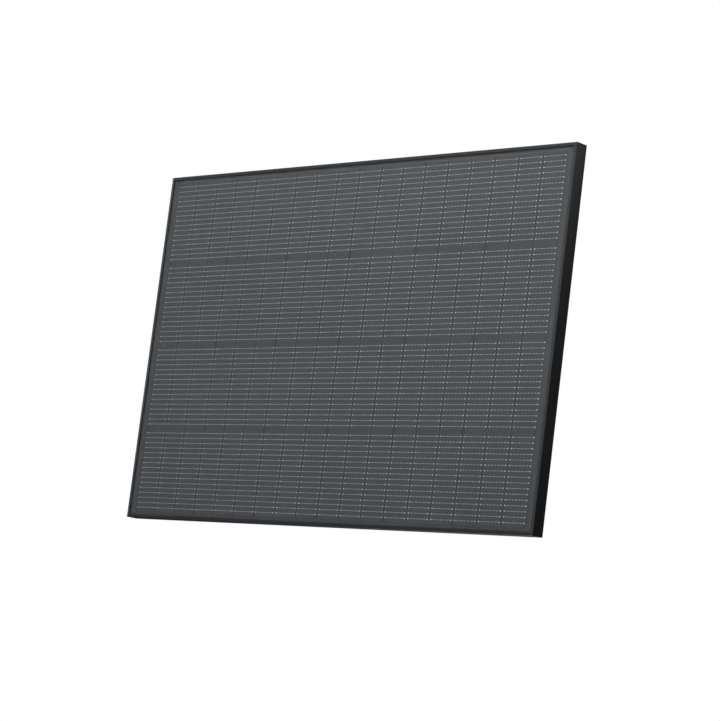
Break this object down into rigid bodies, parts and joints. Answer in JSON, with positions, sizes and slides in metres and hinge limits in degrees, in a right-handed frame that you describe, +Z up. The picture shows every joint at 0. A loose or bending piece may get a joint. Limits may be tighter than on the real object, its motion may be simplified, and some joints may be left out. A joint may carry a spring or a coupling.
{
  "type": "solar panel",
  "caption": "Framed flat solar panel: black aluminium frame, glass over rows of dark cut-wafer cells, rear junction box with two leads and connectors.",
  "frame": {"origin": "centre of the rear mounting plane, which is also the centre of the mounting-slot pattern", "axes": "+X along the long side, +Y out of the back (away from the glass), +Z up along the short side; the glass faces -Y"},
  "size_m": [1.165, 0.03, 0.765],
  "materials": {
    "frame_aluminium": "black anodised, fine satin",
    "key_aluminium": "mill finish",
    "sealant": "black silicone",
    "cover_glass": "textured anti-reflective solar glass",
    "encapsulant": "clear cured film",
    "backsheet_film": "black film",
    "silicon_cell": "textured silicon, blue-grey",
    "tinned_wire": "tinned, dulled",
    "mask_film": "black film",
    "tinned_ribbon": "tinned copper",
    "label_film": "blank silver label",
    "box_plastic": "moulded, fine grain",
    "seal_rubber": "black rubber",
    "screw_steel": "plated",
    "terminal_copper": "tinned copper",
    "diode_plastic": "moulded barrel",
    "cable_jacket": "satin cable jacket",
    "clip_plastic": "moulded",
    "red_sleeve": "red heat-shrink",
    "connector_plastic": "moulded",
    "cage_plastic": "grey moulded",
    "contact_copper": "tinned copper"
  },
  "bodies": {
    "panel": {"rail_top": "frame_aluminium", "rail_bottom": "frame_aluminium", "rail_left": "frame_aluminium", "rail_right": "frame_aluminium", "corner_keys": "key_aluminium", "edge_sealant": "sealant", "front_glass": "cover_glass", "front_encapsulant": "encapsulant", "rear_encapsulant": "encapsulant", "backsheet": "backsheet_film", "cell_row_1": "silicon_cell", "cell_row_2": "silicon_cell", "cell_row_3": "silicon_cell", "cell_row_4": "silicon_cell", "wire_row_1": "tinned_wire", "wire_row_2": "tinned_wire", "wire_row_3": "tinned_wire", "wire_row_4": "tinned_wire", "end_masks": "mask_film", "feed_ribbons": "tinned_ribbon", "return_ribbon": "tinned_ribbon", "link_ribbons": "tinned_ribbon", "insulation_pads": "mask_film", "exit_leads": "tinned_ribbon", "rating_label": "label_film", "box_adhesive": "sealant", "box_base": "box_plastic", "lid_seal": "seal_rubber", "terminal_pos": "terminal_copper", "terminal_neg": "terminal_copper", "bypass_diodes": "diode_plastic", "cable_boots": "seal_rubber", "cable_pos_fixed": "cable_jacket", "cable_neg_fixed": "cable_jacket", "cable_cores": "terminal_copper", "cable_clips": "clip_plastic", "polarity_sleeve": "red_sleeve"},
    "lid": {"box_lid": "box_plastic", "lid_screws": "screw_steel"},
    "pos_lead": {"cable_pos_free": "cable_jacket", "plug_body": "connector_plastic", "plug_pin": "contact_copper", "plug_ring": "seal_rubber"},
    "pos_cage": {"plug_cage": "cage_plastic"},
    "pos_nut": {"plug_nut": "connector_plastic"},
    "neg_lead": {"cable_neg_free": "cable_jacket", "socket_body": "connector_plastic", "socket_sleeve": "contact_copper"},
    "neg_cage": {"socket_cage": "cage_plastic"},
    "neg_nut": {"socket_nut": "connector_plastic"}
  },
  "joints": [
    {"name": "lid_lift", "type": "slide", "parent": "panel", "child": "lid", "axis": [0, 1, 0], "range_m": [0, 0.025]},
    {"name": "pos_lead_swing", "type": "hinge", "parent": "panel", "child": "pos_lead", "pos_m": [-0.33, -0.012, 0.022], "axis": [0, 0, 1], "range_deg": [0, 75]},
    {"name": "neg_lead_swing", "type": "hinge", "parent": "panel", "child": "neg_lead", "pos_m": [-0.33, -0.012, -0.022], "axis": [0, 0, 1], "range_deg": [0, 75]},
    {"name": "plug_nut_travel", "type": "slide", "parent": "pos_lead", "child": "pos_cage", "axis": [-1, 0, 0], "range_m": [0, 0.003]},
    {"name": "plug_nut_turn", "type": "hinge", "parent": "pos_cage", "child": "pos_nut", "pos_m": [0.18, -0.012, 0.07234], "axis": [-1, 0, 0], "range_deg": [0, 720]},
    {"name": "socket_nut_travel", "type": "slide", "parent": "neg_lead", "child": "neg_cage", "axis": [-1, 0, 0], "range_m": [0, 0.003]},
    {"name": "socket_nut_turn", "type": "hinge", "parent": "neg_cage", "child": "neg_nut", "pos_m": [0.12, -0.012, -0.07234], "axis": [-1, 0, 0], "range_deg": [0, 720]}
  ],
  "couplings": [
    {"joint": "plug_nut_travel", "follows": "plug_nut_turn", "m_per_rad": 0.0002387},
    {"joint": "socket_nut_travel", "follows": "socket_nut_turn", "m_per_rad": 0.0002387}
  ]
}
